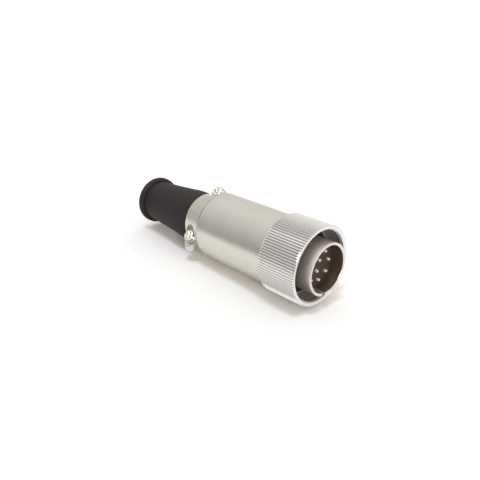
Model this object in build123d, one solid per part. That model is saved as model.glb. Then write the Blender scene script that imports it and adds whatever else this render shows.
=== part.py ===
from build123d import *
import math
import os

os.makedirs("parts", exist_ok=True)

# Driving sizes in millimetres, from the nose outwards.
nose_radius = 8.42
nose_wall = 0.9
nose_step = 0.2
spring_room = 1.99
barrel_wall = 1.2
barrel_tail_wall = 1.0
sleeve_skirt = 1.13
sleeve_mouth_wall = 1.45

# Lengths along the axis.
nose_proud = 2.6
sleeve_length = 14.4
sleeve_overlap = 1.5
sleeve_travel = 3.0
end_room = 0.3
web_thickness = 1.2
seal_room = 1.9
flange_set = 4.5
flange_thickness = 2.0
step_thickness = 2.5
nut_thickness = 2.2
tail_spare = 0.8
barrel_length = 31.25
collar_length = 0.3
clamp_length = 8.5
boot_length = 29.75

# Contacts.
pin_radius = 0.5
pin_recess = 3.2
pin_proud = 1.0
pin_edge = 2.52
outer_pins = 8
inner_pins = 2
inner_pin_circle = 1.73

# Cable clamp and boot.
clamp_step = 0.4
clamp_drop = 1.96
clamp_wall = 1.6
saddle_angle = 43.5
screw_inset = 2.31
screw_radius = 0.9
screw_head_radius = 2.0
boot_inset = 0.25
boot_taper = 1.65
boot_rim = 1.26
cable_radius = 4.5

# Fits: pieces that stay still, pieces that slide, and soft pieces against hard ones.
still = 0.04
running = 0.06
soft = 0.05

# Radii that follow from those sizes.
nose_bore = nose_radius - nose_wall
nose_root = nose_radius + nose_step
barrel_bore = nose_root + spring_room
barrel_radius = barrel_bore + barrel_wall
barrel_tail_bore = barrel_radius - barrel_tail_wall
sleeve_radius = barrel_radius + running + sleeve_skirt
sleeve_mouth_radius = sleeve_radius - sleeve_mouth_wall
outer_pin_circle = nose_bore - pin_edge
clamp_front_radius = barrel_radius - clamp_step
clamp_rear_radius = clamp_front_radius - clamp_drop
clamp_bore = clamp_rear_radius - clamp_wall
screw_offset = clamp_front_radius - screw_inset
boot_radius = clamp_rear_radius - boot_inset
boot_tail_radius = boot_radius - boot_taper
boot_flange_radius = boot_tail_radius + boot_rim

# Stations along X, the connector's axis, from the plug shell's rim at x = 0 to the boot's tail.
sleeve_front = -nose_proud
sleeve_rear = sleeve_front - sleeve_length
barrel_front = sleeve_rear + sleeve_overlap
web_rear = barrel_front + sleeve_travel + end_room
web_front = web_rear + web_thickness
seal_front = web_front + seal_room
flange_front = barrel_front - flange_set
flange_rear = flange_front - flange_thickness
step_rear = flange_rear - step_thickness
nut_rear = step_rear - nut_thickness
shell_rear = nut_rear - tail_spare
barrel_rear = barrel_front - barrel_length
collar_rear = barrel_rear - collar_length
clamp_rear = barrel_rear - clamp_length
boot_rear = clamp_rear - boot_length


def keep(shape, name):
    """Store a piece as the connector stands, on the plug shell's rim with its axis along Z."""
    export_step(Rot(0, 90, 0) * shape, f"parts/{name}.step")


def turned(points):
    """Solid of revolution about X from (x, radius) corners."""
    return revolve(make_face(Polyline(*points, close=True)), Axis.X)


def tube(front, rear, outside, inside):
    return turned([(front, inside), (front, outside), (rear, outside), (rear, inside)])


def rod(front, rear, radius):
    """Solid bar along X."""
    bar = Cylinder(radius, front - rear, align=(Align.CENTER, Align.CENTER, Align.MIN))
    return Pos(rear, 0, 0) * Rot(0, 90, 0) * bar


def post(low, high, radius):
    """Solid bar along Z."""
    bar = Cylinder(radius, high - low, align=(Align.CENTER, Align.CENTER, Align.MIN))
    return Pos(0, 0, low) * bar


def around(angle, shape):
    """Turn a shape about X, from +Y towards +Z."""
    return Rot(angle, 0, 0) * shape


# Plug shell: nose tube, flange against the barrel's inner step, threaded tail for the nut.
rim_break = 0.18
insert_step = 0.38
rear_bore = nose_bore + insert_step
step_height = 1.0
step_bore = barrel_bore - step_height
insert_set = 3.0
insert_land = 2.0
insert_joint = flange_front + insert_set
insert_seat = insert_joint + insert_land
clip_set = 0.6
clip_slot = 0.8
clip_depth = 0.3
clip_front = flange_front - clip_set
clip_rear = clip_front - clip_slot
stop_thickness = 0.6
stop_clear = 0.02
stop_depth = 0.5
stop_front = web_front + stop_clear + stop_thickness
key_length = 6.0
key_slot_width = 1.4
key_groove_width = 1.0
key_groove_depth = 0.45
shell_body = turned([
    (-rim_break, nose_bore),
    (0, nose_bore + rim_break),
    (0, nose_radius),
    (seal_front, nose_radius),
    (seal_front, nose_root),
    (flange_front, nose_root),
    (flange_front, barrel_bore - still),
    (flange_rear, barrel_bore - still),
    (flange_rear, step_bore - still),
    (shell_rear, step_bore - still),
    (shell_rear, rear_bore),
    (clip_rear, rear_bore),
    (clip_rear, rear_bore + clip_depth),
    (clip_front, rear_bore + clip_depth),
    (clip_front, rear_bore),
    (insert_seat, rear_bore),
    (insert_seat, nose_bore),
])
stop_groove = tube(stop_front + stop_clear, web_front, nose_root + nose_wall, nose_root - stop_depth)
key_slot = Pos(0, nose_radius - nose_wall / 2, 0) * Box(2 * key_length, 3 * nose_wall, key_slot_width)
key_groove = Pos(0, nose_bore, 0) * Box(2 * key_length, 2 * key_groove_depth, key_groove_width)
plug_shell = shell_body - stop_groove - around(-100, key_slot) - around(-173, key_groove)
keep(plug_shell, "plug_shell")

# Insulators: the front one carries the contacts' collars, and the rear one closes over them.
pin_tip = -pin_recess
insert_face = pin_tip - pin_proud
insert_back = clip_front + still
pin_collar_height = 0.35
pin_collar = pin_radius + pin_collar_height
pin_collar_length = 1.45
cup_wall = 0.25
cup_radius = pin_radius + cup_wall
pin_places = []
for index in range(outer_pins):
    pin_places.append((outer_pin_circle, 6.5 + 360 / outer_pins * index))
for index in range(inner_pins):
    pin_places.append((inner_pin_circle, 74 + 360 / inner_pins * index))

front_insulator = turned([
    (insert_face, 0),
    (insert_face, nose_bore - still),
    (insert_seat - still, nose_bore - still),
    (insert_seat - still, rear_bore - still),
    (insert_joint, rear_bore - still),
    (insert_joint, 0),
])
rear_insulator = rod(insert_joint - still, insert_back, rear_bore - still)
for circle, angle in pin_places:
    pin_hole = rod(0, insert_joint - pin_radius, pin_radius + still)
    collar_top = insert_joint + pin_collar_length + soft
    collar_hole = rod(collar_top, insert_joint - pin_radius, pin_collar + still)
    cup_hole = rod(insert_joint + pin_radius, insert_back - pin_radius, cup_radius + still)
    front_insulator -= around(angle, Pos(0, circle, 0) * (pin_hole + collar_hole))
    rear_insulator -= around(angle, Pos(0, circle, 0) * cup_hole)
keep(front_insulator, "front_insulator")
keep(rear_insulator, "rear_insulator")

# Contacts: round-nosed pins with a collar and a solder cup.
cup_length = 3.4
cup_depth = 3.0
cup_window = 1.9
cup_rear = insert_back - cup_length
contact = turned([
    (cup_rear + cup_depth, 0),
    (cup_rear + cup_depth, pin_radius),
    (cup_rear, pin_radius),
    (cup_rear, cup_radius),
    (insert_joint, cup_radius),
    (insert_joint, pin_collar),
    (insert_joint + pin_collar_length, pin_collar),
    (insert_joint + pin_collar_length, pin_radius),
    (pin_tip - pin_radius, pin_radius),
    (pin_tip - 0.29 * pin_radius, 0.71 * pin_radius),
    (pin_tip, 0.2 * pin_radius),
    (pin_tip, 0),
])
contact -= Pos(cup_rear, 0, cup_radius) * Box(2 * cup_window, 4 * cup_radius, 2 * cup_radius)
for index, (circle, angle) in enumerate(pin_places):
    placed = around(angle, Pos(0, circle, 0) * around(90, contact))
    keep(placed, f"contact_pin_{index + 1:02d}")


def open_ring(front, rear, outside, inside, gap_angle, gap):
    """Ring with a gap, so that it can be sprung into its groove."""
    cut = Pos((front + rear) / 2, outside, 0) * Box(4 * (front - rear), 2 * outside, gap)
    return tube(front, rear, outside, inside) - around(gap_angle, cut)


# Circlip behind the insulators, and stop ring in front of the sleeve's web.
ring_gap = 3.0
clip_height = 0.9
clip_outside = rear_bore + clip_depth - soft
insert_circlip = open_ring(
    clip_front - still,
    clip_rear + still,
    clip_outside,
    rear_bore - clip_height,
    60,
    ring_gap,
)
keep(insert_circlip, "insert_circlip")
stop_height = 1.0
sleeve_stop_ring = open_ring(
    stop_front,
    web_front + stop_clear,
    nose_root + stop_height,
    nose_root - stop_depth + still,
    140,
    ring_gap,
)
keep(sleeve_stop_ring, "sleeve_stop_ring")

# Face seal on the nose, at the bottom of the gap that takes the mating shell.
seal_gap = 0.8
seal_set = 0.3
face_seal = tube(
    seal_front - seal_set,
    stop_front + still,
    sleeve_mouth_radius - seal_gap,
    nose_root + soft,
)
keep(face_seal, "face_seal")

# Coupling sleeve: straight knurl outside, inner web that the spring pushes on.
knurl_teeth = 94
knurl_depth = 0.35
rim_chamfer = 0.3
rear_chamfer = 0.7
lead_in = 0.35
groove_set = 1.1
groove_width = 0.9
groove_depth = 0.5
ridge_width = 1.1
relief = 0.45
groove_front = sleeve_front - groove_set
groove_rear = groove_front - groove_width
ridge_rear = groove_rear - ridge_width
knurl_root = sleeve_radius - knurl_depth
over = knurl_depth / 4
tooth = 360 / knurl_teeth
tooth_corners = [(-0.44, knurl_root), (-0.08, sleeve_radius), (0.08, sleeve_radius), (0.44, knurl_root)]
crown = []
for index in range(knurl_teeth):
    for step, radius in tooth_corners:
        turn = math.radians(tooth * (index + step))
        crown.append((radius * math.cos(turn), radius * math.sin(turn)))
knurl = extrude(Plane.YZ * make_face(Polyline(*crown, close=True)), sleeve_length)
sleeve_blank = turned([
    (sleeve_front - lead_in, sleeve_mouth_radius),
    (sleeve_front, sleeve_mouth_radius + lead_in),
    (sleeve_front, sleeve_radius - rim_chamfer),
    (sleeve_front - rim_chamfer - over, sleeve_radius + over),
    (sleeve_rear + rear_chamfer + over, sleeve_radius + over),
    (sleeve_rear, sleeve_radius - rear_chamfer),
    (sleeve_rear, barrel_radius + running),
    (web_rear, barrel_radius + running),
    (web_rear, nose_root + running),
    (web_front, nose_root + running),
    (web_front, sleeve_mouth_radius + relief),
    (ridge_rear, sleeve_mouth_radius + relief),
    (ridge_rear, sleeve_mouth_radius),
    (groove_rear, sleeve_mouth_radius),
    (groove_rear, sleeve_mouth_radius + groove_depth),
    (groove_front, sleeve_mouth_radius + groove_depth),
    (groove_front, sleeve_mouth_radius),
])
coupling_sleeve = sleeve_blank & (Pos(sleeve_rear, 0, 0) * knurl)
keep(coupling_sleeve, "coupling_sleeve")

# Lock ring in the groove behind the sleeve's mouth.
lock_proud = 0.15
lock_ring = open_ring(
    groove_front - still,
    groove_rear + still,
    sleeve_mouth_radius + groove_depth - still,
    sleeve_mouth_radius - lock_proud,
    200,
    ring_gap,
)
keep(lock_ring, "lock_ring")

# Return spring between the sleeve's web and the plug shell's flange.
wire = 0.7
coils = 5
spring_radius = (nose_root + barrel_bore) / 2
spring_front = web_rear - wire / 2 - still
spring_rear = flange_front + wire / 2 + still
coil_path = Helix(
    (spring_front - spring_rear) / coils,
    spring_front - spring_rear,
    spring_radius,
    center=(spring_rear, 0, 0),
    direction=(1, 0, 0),
)
coil_section = Plane(origin=coil_path @ 0, z_dir=coil_path % 0) * Circle(wire / 2)
sleeve_spring = sweep(coil_section, path=coil_path, is_frenet=True)
keep(sleeve_spring, "sleeve_spring")

# Barrel: front bore for spring and flange, inner step for the nut, wide tail for the wires.
front_chamfer = 0.3
tail_round = 0.45
barrel = turned([
    (barrel_front, barrel_bore),
    (barrel_front, barrel_radius - front_chamfer),
    (barrel_front - front_chamfer, barrel_radius),
    (barrel_rear + tail_round, barrel_radius),
    (barrel_rear + 0.29 * tail_round, barrel_radius - 0.29 * tail_round),
    (barrel_rear, barrel_radius - tail_round),
    (barrel_rear, barrel_tail_bore),
    (step_rear, barrel_tail_bore),
    (step_rear, step_bore),
    (flange_rear - still, step_bore),
    (flange_rear - still, barrel_bore),
])
keep(barrel, "barrel")

# Nut on the plug shell's tail, with slots for a pin spanner.
nut_gap = 0.1
spanner = 1.6
shell_nut = tube(step_rear - still, nut_rear, barrel_tail_bore - nut_gap, step_bore + still)
for index in range(4):
    spanner_slot = Pos(nut_rear, barrel_tail_bore, 0) * Box(spanner, spanner, spanner)
    shell_nut -= around(90 * index, spanner_slot)
keep(shell_nut, "shell_nut")

# Clamp base: spigot in the barrel's tail, collar behind it, lower part with a boss for each screw.
# The boss that is seen from the front stands out as a round lobe.
spigot_length = 6.0
spigot_wall = 0.8
collar_step = 0.5
screw_set = 3.9
boss_radius = 2.4
boss_round = 1.6
boss_low = 1.8
boss_floor = 0.8
seat = 5.6
split = 4.5
split_gap = 0.12
lobe_radius = 2.2
lobe_round = 1.9
lobe_length = 5.7
lobe_set = 0.4
lobe_tilt = 35
spigot_bore = barrel_tail_bore - spigot_wall
collar_radius = clamp_front_radius - collar_step
screw_x = clamp_rear + screw_set
boss_end = -boss_low
clamp_cone = [
    (collar_rear, 0),
    (collar_rear, clamp_front_radius),
    (clamp_rear, clamp_rear_radius),
    (clamp_rear, 0),
]
half_length = 4 * clamp_length
half_width = 4 * sleeve_radius
screw_sides = (-screw_offset, screw_offset)


def half_space(front, low, high):
    """Block behind one station, between two heights."""
    block = Box(half_length, half_width, high - low, align=(Align.MAX, Align.CENTER, Align.MIN))
    return Pos(front, 0, low) * block


def round_post(length, radius, round_end):
    """Bar along Z that ends at z = 0, with its lower end rounded."""
    bar = post(-length, 0, radius)
    return fillet(bar.edges().group_by(Axis.Z)[0], round_end)


boss = round_post(split + boss_low, boss_radius, boss_round)
bosses = Pos(screw_x, -screw_offset, split) * boss + Pos(screw_x, screw_offset, split) * boss
lobe = Rot(-lobe_tilt, 0, 0) * round_post(lobe_length, lobe_radius, lobe_round)
lobe = Pos(screw_x, -screw_offset - lobe_set, seat) * lobe - half_space(barrel_rear, split, half_width)
clamp_base = turned(clamp_cone) - half_space(collar_rear + collar_length, split, half_width)
clamp_base += bosses + lobe
clamp_base += turned([
    (barrel_rear + spigot_length, spigot_bore),
    (barrel_rear + spigot_length, barrel_tail_bore - still),
    (barrel_rear - still, barrel_tail_bore - still),
    (barrel_rear - still, collar_radius),
    (collar_rear, collar_radius),
    (collar_rear, clamp_bore - clamp_wall),
    (barrel_rear, clamp_bore - clamp_wall),
    (barrel_rear, spigot_bore),
])
clamp_base -= rod(barrel_rear + spigot_length, clamp_rear - clamp_length, clamp_bore)
for side in screw_sides:
    thread_hole = post(boss_end + boss_floor, split + boss_floor, screw_radius + still)
    clamp_base -= Pos(screw_x, side, 0) * thread_hole
keep(around(saddle_angle, clamp_base), "clamp_base")

# Clamp saddle: strap with an ear at each end, and a pocket above each ear for a screw head.
pocket_gap = 1.2
screw_gap = 0.15
saddle_front = collar_rear - still
saddle_low = split + split_gap
clamp_saddle = turned(clamp_cone) & half_space(saddle_front, saddle_low, half_width)
ear = post(saddle_low, seat, boss_radius)
clamp_saddle += Pos(screw_x, -screw_offset, 0) * ear + Pos(screw_x, screw_offset, 0) * ear
for side in screw_sides:
    pocket = post(seat, half_width, screw_head_radius + pocket_gap)
    screw_hole = post(saddle_low - seat, seat + split, screw_radius + screw_gap)
    clamp_saddle -= Pos(screw_x, side, 0) * (pocket + screw_hole)
clamp_saddle -= rod(barrel_rear, clamp_rear - clamp_length, clamp_bore)
keep(around(saddle_angle, clamp_saddle), "clamp_saddle")

# Clamp screws: pan heads with a cross recess.
head_height = 1.3
head_round = 0.7
recess_length = 2.3
recess_width = 0.6
recess_depth = 0.8
head = post(seat + still, seat + head_height, screw_head_radius)
head = fillet(head.edges().group_by(Axis.Z)[-1], head_round)
slot = Box(recess_length, recess_width, 2 * recess_depth)
cross = slot + Rot(0, 0, 90) * slot
screw = head + post(boss_end + boss_floor + screw_gap, seat + head_height / 4, screw_radius)
screw -= Pos(0, 0, seat + head_height) * Rot(0, 0, 45) * cross
screws = []
for side in screw_sides:
    screws.append(Rot(0, 90, 0) * around(saddle_angle, Pos(screw_x, side, 0) * screw))
export_step(Compound(children=screws), "parts/clamp_screws.step")

# Slip washer between the clamp and the boot's collar.
washer_thickness = 0.61
washer_front = barrel_rear + still + washer_thickness
clamp_washer = tube(washer_front, barrel_rear + still, spigot_bore - still, clamp_bore)
keep(clamp_washer, "clamp_washer")

# Cable boot: collar behind the washer, swelling behind the clamp, taper to a round-edged flange.
boot_slack = 0.1
boot_collar_length = 2.5
flange_length = 2.6
flange_round = 0.9
neck_gap = 0.4
boot_lip = 0.5
boot_neck = clamp_bore - soft
boot_collar = spigot_bore - boot_slack
boot_front = washer_front + boot_collar_length
flange_top = boot_flange_radius - flange_round
taper_rear = boot_rear + flange_length
neck_rear = clamp_rear - neck_gap
swell_rear = clamp_rear - 0.26 * boot_length
swell_drop = 0.12
swell_end = boot_radius - swell_drop
boot_outline = [
    Polyline(
        (washer_front + soft, boot_neck),
        (washer_front + soft, boot_collar),
        (boot_front, boot_collar),
        (boot_front, cable_radius),
        (boot_rear, cable_radius),
        (boot_rear, flange_top),
    ),
    ThreePointArc(
        (boot_rear, flange_top),
        (boot_rear + 0.29 * flange_round, flange_top + 0.71 * flange_round),
        (boot_rear + flange_round, boot_flange_radius),
    ),
    Line((boot_rear + flange_round, boot_flange_radius), (taper_rear - flange_round, boot_flange_radius)),
    ThreePointArc(
        (taper_rear - flange_round, boot_flange_radius),
        (taper_rear - 0.29 * flange_round, flange_top + 0.71 * flange_round),
        (taper_rear, flange_top),
    ),
    Line((taper_rear, flange_top), (taper_rear, boot_tail_radius)),
    ThreePointArc(
        (taper_rear, boot_tail_radius),
        (taper_rear + 0.33 * boot_length, boot_tail_radius + 0.4 * (swell_end - boot_tail_radius)),
        (swell_rear, swell_end),
    ),
    ThreePointArc(
        (swell_rear, swell_end),
        ((swell_rear + neck_rear) / 2, boot_radius - swell_drop / 4),
        (neck_rear, boot_radius - boot_lip),
    ),
    Polyline(
        (neck_rear, boot_radius - boot_lip),
        (neck_rear, boot_neck),
        (washer_front + soft, boot_neck),
    ),
]
boot_edges = [edge for line in boot_outline for edge in line.edges()]
cable_boot = revolve(make_face(boot_edges), Axis.X)
keep(cable_boot, "cable_boot")
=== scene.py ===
import bpy
import math
from mathutils import Matrix, Vector


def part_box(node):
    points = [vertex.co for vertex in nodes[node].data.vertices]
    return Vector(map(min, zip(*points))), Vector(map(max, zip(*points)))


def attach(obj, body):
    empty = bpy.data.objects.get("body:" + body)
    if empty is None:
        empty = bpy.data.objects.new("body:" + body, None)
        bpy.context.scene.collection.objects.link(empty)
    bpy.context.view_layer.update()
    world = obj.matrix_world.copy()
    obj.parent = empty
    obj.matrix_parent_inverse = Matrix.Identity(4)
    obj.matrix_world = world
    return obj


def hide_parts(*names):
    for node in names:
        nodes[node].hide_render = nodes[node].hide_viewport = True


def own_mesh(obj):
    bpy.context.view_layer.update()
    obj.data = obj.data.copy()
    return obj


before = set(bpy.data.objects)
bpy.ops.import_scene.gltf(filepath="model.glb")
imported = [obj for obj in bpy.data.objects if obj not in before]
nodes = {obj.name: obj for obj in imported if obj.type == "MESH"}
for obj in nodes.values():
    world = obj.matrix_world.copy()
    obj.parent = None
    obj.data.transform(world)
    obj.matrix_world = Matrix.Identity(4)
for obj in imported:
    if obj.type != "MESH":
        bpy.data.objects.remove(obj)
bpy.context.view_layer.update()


# Plug shell: the thin keyed nose and the flange behind it, turned from brass
# and plated with bright nickel. The lathe's fine rings still show on it. Its
# bore is painted a dark brown, as painted shade inside the nose.
class Wire:
    """A shader socket that can be used in Python expressions."""

    def __init__(self, shading, socket):
        self.shading = shading
        self.socket = socket

    def math(self, operation, first, second):
        settings = {"operation": operation}
        return self.shading.node("ShaderNodeMath", settings, {0: first, 1: second})

    def __add__(self, other):
        return self.math("ADD", self, other)

    __radd__ = __add__

    def __rsub__(self, other):
        return self.math("SUBTRACT", other, self)

    def __mul__(self, other):
        return self.math("MULTIPLY", self, other)

    __rmul__ = __mul__

    def __gt__(self, other):
        return self.math("GREATER_THAN", self, other)

    def __lt__(self, other):
        return self.math("LESS_THAN", self, other)

    def __pow__(self, other):
        return self.math("POWER", self, other)


class Shading:
    """A node tree, with one method that adds any node to it."""

    def __init__(self, tree):
        self.tree = tree

    def node(self, kind, settings=None, sockets=None, output=0):
        made = self.tree.nodes.new(kind)
        for name, value in (settings or {}).items():
            setattr(made, name, value)
        for name, value in (sockets or {}).items():
            if isinstance(value, Wire):
                self.tree.links.new(value.socket, made.inputs[name])
            else:
                made.inputs[name].default_value = value
        return Wire(self, made.outputs[output])


class Finish(Shading):
    """A material whose surface is one Principled shader."""

    def __init__(self, name, metallic):
        self.material = bpy.data.materials.new(name)
        self.material.use_nodes = True
        super().__init__(self.material.node_tree)
        self.surface = self.tree.nodes["Principled BSDF"]
        self.surface.inputs["Metallic"].default_value = metallic
        self.place = self.node("ShaderNodeTexCoord", output="Object")

    def feed(self, **wires):
        for socket, wire in wires.items():
            self.tree.links.new(wire.socket, self.surface.inputs[socket.replace("_", " ")])

    def noise(self, scale, detail=3.0, stretch=(1, 1, 1)):
        mapped = self.node("ShaderNodeMapping", None, {"Vector": self.place, "Scale": stretch})
        sockets = {"Vector": mapped, "Scale": scale, "Detail": detail}
        return self.node("ShaderNodeTexNoise", None, sockets)

    def blend(self, share, first, second):
        """A colour between two, each written out or the result of another blend."""
        first, second = (
            colour if isinstance(colour, Wire) else (*colour, 1) for colour in (first, second)
        )
        sockets = {"Factor": share, 6: first, 7: second}
        return self.node("ShaderNodeMix", {"data_type": "RGBA"}, sockets, output=2)

    def bump(self, height, strength, distance):
        sockets = {"Height": height, "Strength": strength, "Distance": distance}
        return self.node("ShaderNodeBump", None, sockets)

    def rise(self, value, low, high):
        """0 below low, 1 above high and even in between."""
        return self.node("ShaderNodeMapRange", None, {0: value, 1: low, 2: high})

    def radius(self):
        """Distance from the plug's axis."""
        x = self.node("ShaderNodeSeparateXYZ", None, {0: self.place}, output="X")
        y = self.node("ShaderNodeSeparateXYZ", None, {0: self.place}, output="Y")
        return (x * x + y * y) ** 0.5


def coat(finish, *names):
    for name in names:
        mesh = nodes[name].data
        mesh.materials.clear()
        mesh.materials.append(finish.material)


# Radius inside which the nose's bore is painted dark, as painted shade.
shaded_bore_radius = 0.00756
bright_nickel = Finish("bright_nickel", 0.85)
lathe_rings = bright_nickel.noise(60, 4, (1, 1, 60))
tarnish = bright_nickel.noise(320, 5)
plating = bright_nickel.blend(tarnish, (0.68, 0.61, 0.57), (0.82, 0.745, 0.70))
# The bore's dark brown is painted shade, standing in for the shadow inside the nose.
bore_shade = bright_nickel.blend(tarnish, (0.24, 0.165, 0.13), (0.31, 0.22, 0.18))
in_bore = bright_nickel.radius() < shaded_bore_radius
bright_nickel.feed(Base_Color=bright_nickel.blend(in_bore, plating, bore_shade))
bright_nickel.feed(Roughness=0.26 + 0.08 * tarnish)
bright_nickel.feed(Normal=bright_nickel.bump(lathe_rings, 0.12, 0.00002))
coat(bright_nickel, "plug_shell")


# Insulators: two discs of dark thermoset that carry the contacts. They are
# pushed in from behind and show only as the floor of the nose.
thermoset = Finish("dark_thermoset", 0.0)
moulding = thermoset.noise(900, 4)
moulded_grain = thermoset.noise(4200, 3)
thermoset.feed(
    Base_Color=thermoset.blend(moulding, (0.046, 0.028, 0.018), (0.068, 0.043, 0.030)),
    Roughness=0.55 + 0.2 * moulding,
    Normal=thermoset.bump(moulded_grain, 0.1, 0.00002),
)
coat(thermoset, "front_insulator", "rear_insulator")


# Contacts: turned brass pins with a pale, frosted plating, rounded at the tip
# and held by their collars between the two insulators.
contact_count = 10
plated_contact = Finish("plated_contact", 0.4)
handling = plated_contact.noise(1500, 3)
plated_contact.feed(
    Base_Color=plated_contact.blend(handling, (0.94, 0.92, 0.87), (0.98, 0.97, 0.94)),
    Roughness=0.40 + 0.10 * handling,
)
for number in range(1, contact_count + 1):
    coat(plated_contact, f"contact_pin_{number:02d}")


# Circlip, stop ring, lock ring and slip washer: stainless spring strip, cut
# or wound and sprung into their grooves.
spring_strip = Finish("spring_strip", 1.0)
rolled = spring_strip.noise(700, 4)
spring_strip.feed(
    Base_Color=spring_strip.blend(rolled, (0.5, 0.49, 0.47), (0.64, 0.63, 0.61)),
    Roughness=0.22 + 0.14 * rolled,
)
coat(spring_strip, "insert_circlip", "sleeve_stop_ring", "lock_ring", "clamp_washer")


# Return spring: round spring wire wound as five open coils round the nose. It
# sits between the sleeve's web and the shell's flange. The real one closes up as
# the sleeve goes back; here it is a fixed coil that rides with the plug.
spring_low, spring_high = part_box("sleeve_spring")
wire_radius = 0.00035
turns = 5
steps_per_turn = 48
coil_radius = (spring_high.y - spring_low.y) / 2 - wire_radius
coil_start = spring_high.z - wire_radius
coil_length = spring_high.z - spring_low.z - 2 * wire_radius
coil_line = bpy.data.curves.new("coil_line", "CURVE")
coil_line.dimensions = "3D"
coil_line.bevel_depth = wire_radius
coil_line.bevel_resolution = 3
coil_line.use_fill_caps = True
steps = steps_per_turn * turns
winding = coil_line.splines.new("POLY")
winding.points.add(steps)
for index, point in enumerate(winding.points):
    share = index / steps
    turn = 2 * math.pi * turns * share
    height = coil_start - coil_length * share
    point.co = (coil_radius * math.sin(turn), coil_radius * math.cos(turn), height, 1)
coil_maker = bpy.data.objects.new("coil_maker", coil_line)
bpy.context.scene.collection.objects.link(coil_maker)
bpy.context.view_layer.update()
wound = coil_maker.evaluated_get(bpy.context.evaluated_depsgraph_get())
coil_mesh = bpy.data.meshes.new_from_object(wound)
bpy.data.objects.remove(coil_maker)
return_spring = bpy.data.objects.new("return_spring", coil_mesh)
bpy.context.scene.collection.objects.link(return_spring)
coil_mesh.materials.clear()
coil_mesh.materials.append(spring_strip.material)
for face in coil_mesh.polygons:
    face.use_smooth = True
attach(return_spring, "plug")
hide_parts("sleeve_spring")
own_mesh(return_spring)


# Face seal: flat ring of black rubber on the nose, at the bottom of the gap
# that takes the mating shell.
rubber = Finish("black_rubber", 0.0)
rubber.surface.inputs["Specular IOR Level"].default_value = 0.33
bloom = rubber.noise(260, 5)
pores = rubber.noise(3200, 4)
rubber.feed(
    Base_Color=rubber.blend(bloom, (0.015, 0.009, 0.009), (0.026, 0.0165, 0.0165)),
    Roughness=0.6 + 0.18 * bloom,
    Normal=rubber.bump(pores, 0.15, 0.00004),
)
coat(rubber, "face_seal")


# Barrel and its nut: drawn brass tube, bead blasted and plated with satin
# nickel. The nut holds the plug shell against the barrel's inner step.
satin_nickel = Finish("satin_nickel", 1.0)
blasting = satin_nickel.noise(3400, 3)
cloud = satin_nickel.noise(160, 4)
speckle = 0.3 * cloud + 0.7 * blasting
satin_nickel.feed(
    Base_Color=satin_nickel.blend(speckle, (0.50, 0.495, 0.45), (0.84, 0.83, 0.765)),
    Roughness=0.24 + 0.06 * cloud + 0.06 * blasting,
    Normal=satin_nickel.bump(blasting, 0.5, 0.00003),
)
coat(satin_nickel, "barrel", "shell_nut")


# Coupling sleeve: knurled brass ring in bright nickel, pulled back by hand to
# unlatch. The roots of the knurl are painted darker than the crests: painted shade.
sleeve_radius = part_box("coupling_sleeve")[1].y
knurl_depth = 0.00035
knurl_root = sleeve_radius - knurl_depth
knurled_nickel = Finish("knurled_nickel", 1.0)
from_axis = knurled_nickel.radius()
crest = knurled_nickel.rise(from_axis, knurl_root - 0.00001, knurl_root + 0.00009)
outside = from_axis > knurl_root - 0.00003
shade_and_grime = knurled_nickel.noise(500, 4)
# The knurl's roots are painted dark as painted shade in the grooves; the noise varies how dark
# they are, and the roughness.
shade = 1 - (1 - crest) * outside * (0.55 + 0.2 * shade_and_grime)
knurled_nickel.feed(
    Base_Color=knurled_nickel.blend(shade, (0.05, 0.045, 0.04), (0.88, 0.87, 0.85)),
    Roughness=0.40 - 0.24 * outside + 0.10 * shade_and_grime,
)
coat(knurled_nickel, "coupling_sleeve")


# Cable clamp: die-cast base in the barrel's tail and the saddle screwed down
# on it, both blasted and plated like the barrel.
coat(satin_nickel, "clamp_base", "clamp_saddle")


# Clamp screws: two small pan heads with a cross recess, in bright zinc plate.
# They pull the saddle down on the base.
bright_zinc = Finish("bright_zinc", 1.0)
passivate = bright_zinc.noise(900, 4)
bright_zinc.feed(
    Base_Color=bright_zinc.blend(passivate, (0.80, 0.79, 0.73), (0.93, 0.92, 0.88)),
    Roughness=0.18 + 0.12 * passivate,
)
coat(bright_zinc, "clamp_screws")


# Cable boot: moulded black rubber, held by its collar behind the clamp, with a
# round-edged flange at the tail.
coat(rubber, "cable_boot")


# Floor: white paper under the side of the sleeve and of the barrel's tail, which
# carry the plug as it lies. Places here have the plug's axis along X and up along
# Z, and are then turned to the frame, where the plug stands on its nose.
lying = Matrix.Rotation(math.radians(90), 4, "Y")
sleeve_touch = (-0.01635, -0.013)
barrel_touch = (-0.0463, -0.01181)
slope = (barrel_touch[1] - sleeve_touch[1]) / (barrel_touch[0] - sleeve_touch[0])
near_corner = (-0.005, -0.11)
far_corners = [(60, 63), (-60, 130), (-60, 24)]
paper_corners = []
for x, y in (near_corner, *far_corners):
    paper_corners.append((x, y, sleeve_touch[1] + slope * (x - sleeve_touch[0])))
floor_mesh = bpy.data.meshes.new("floor")
floor_mesh.from_pydata(paper_corners, [], [(0, 1, 2, 3)])
floor = bpy.data.objects.new("floor", floor_mesh)
floor.matrix_world = lying
bpy.context.scene.collection.objects.link(floor)
paper = Finish("white_paper", 0.0)
fibre = paper.noise(900, 3)
paper.feed(Base_Color=paper.blend(fibre, (0.835, 0.82, 0.805), (0.85, 0.835, 0.82)))
paper.surface.inputs["Roughness"].default_value = 0.9
paper.surface.inputs["Specular IOR Level"].default_value = 0.0
paper.surface.inputs["Emission Color"].default_value = (1, 0.72, 0.48, 1)
paper.surface.inputs["Emission Strength"].default_value = 0.05
from_below = paper.node("ShaderNodeNewGeometry", output="Backfacing")
clear = paper.node("ShaderNodeBsdfTransparent")
upper_side = Wire(paper, paper.surface.outputs[0])
one_sided = paper.node("ShaderNodeMixShader", None, {0: from_below, 1: upper_side, 2: clear})
paper.tree.links.new(one_sided.socket, paper.tree.nodes["Material Output"].inputs["Surface"])
floor_mesh.materials.append(paper.material)


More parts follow.
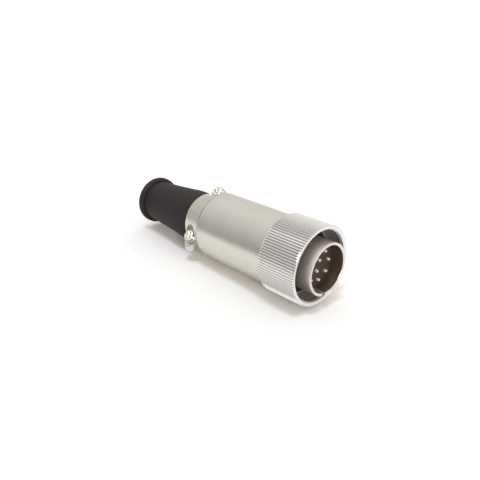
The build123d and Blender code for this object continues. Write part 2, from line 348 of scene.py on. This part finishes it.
# Room: pale walls all round, lighter where the frame's +X and +Y lie, which are
# above the plug and behind it as it lies.
world = bpy.data.worlds.new("studio")
bpy.context.scene.world = world
world.use_nodes = True
room = Shading(world.node_tree)
facing = room.node("ShaderNodeTexCoord", output="Generated")
upward = room.node("ShaderNodeSeparateXYZ", None, {0: facing}, output="X")
backward = room.node("ShaderNodeSeparateXYZ", None, {0: facing}, output="Y")
glow = 0.55 + 0.46 * upward + 0.18 * backward
walls = room.node("ShaderNodeBackground", None, {"Color": (1, 0.98, 0.95, 1), "Strength": glow})
room.tree.links.new(walls.socket, room.tree.nodes["World Output"].inputs["Surface"])


# Lamps: a broad cool skylight overhead, a weak window behind the plug and a soft
# fill that reaches into the nose. Each row gives energy, colour, spread in degrees
# and the way the light travels.
white = (1.0, 1.0, 1.0)
for name, energy, colour, spread, direction in (
    ("skylight", 1.1, (0.80, 0.89, 1.0), 15, (-0.1, 0.2, -1)),
    ("window", 0.2, white, 20, (0.1, -0.79, -0.61)),
    ("fill", 0.9, white, 14, (-0.8, 0.5, -0.35)),
):
    lamp = bpy.data.lights.new(name, "SUN")
    lamp.energy = energy
    lamp.color = colour
    lamp.angle = math.radians(spread)
    lamp_object = bpy.data.objects.new(name, lamp)
    aim = Vector(direction).to_track_quat("-Z", "Y").to_matrix().to_4x4()
    lamp_object.matrix_world = lying @ aim
    bpy.context.scene.collection.objects.link(lamp_object)


# Camera: above the plug and in front of its nose, at the angle from which the
# photograph was taken.
camera = bpy.data.objects.new("camera", bpy.data.cameras.new("camera"))
camera.data.sensor_width = 36
camera.data.lens = 40.69
camera.data.clip_start = 0.01
camera.data.clip_end = 50
eye = Vector((0.08413, -0.1176, 0.0739))
target = Vector((-0.03739, 0, -0.0025))
sight = (target - eye).to_track_quat("-Z", "Y").to_matrix().to_4x4()
camera.matrix_world = lying @ Matrix.Translation(eye) @ sight
bpy.context.scene.collection.objects.link(camera)
bpy.context.scene.camera = camera
bpy.context.scene.view_settings.view_transform = "Standard"
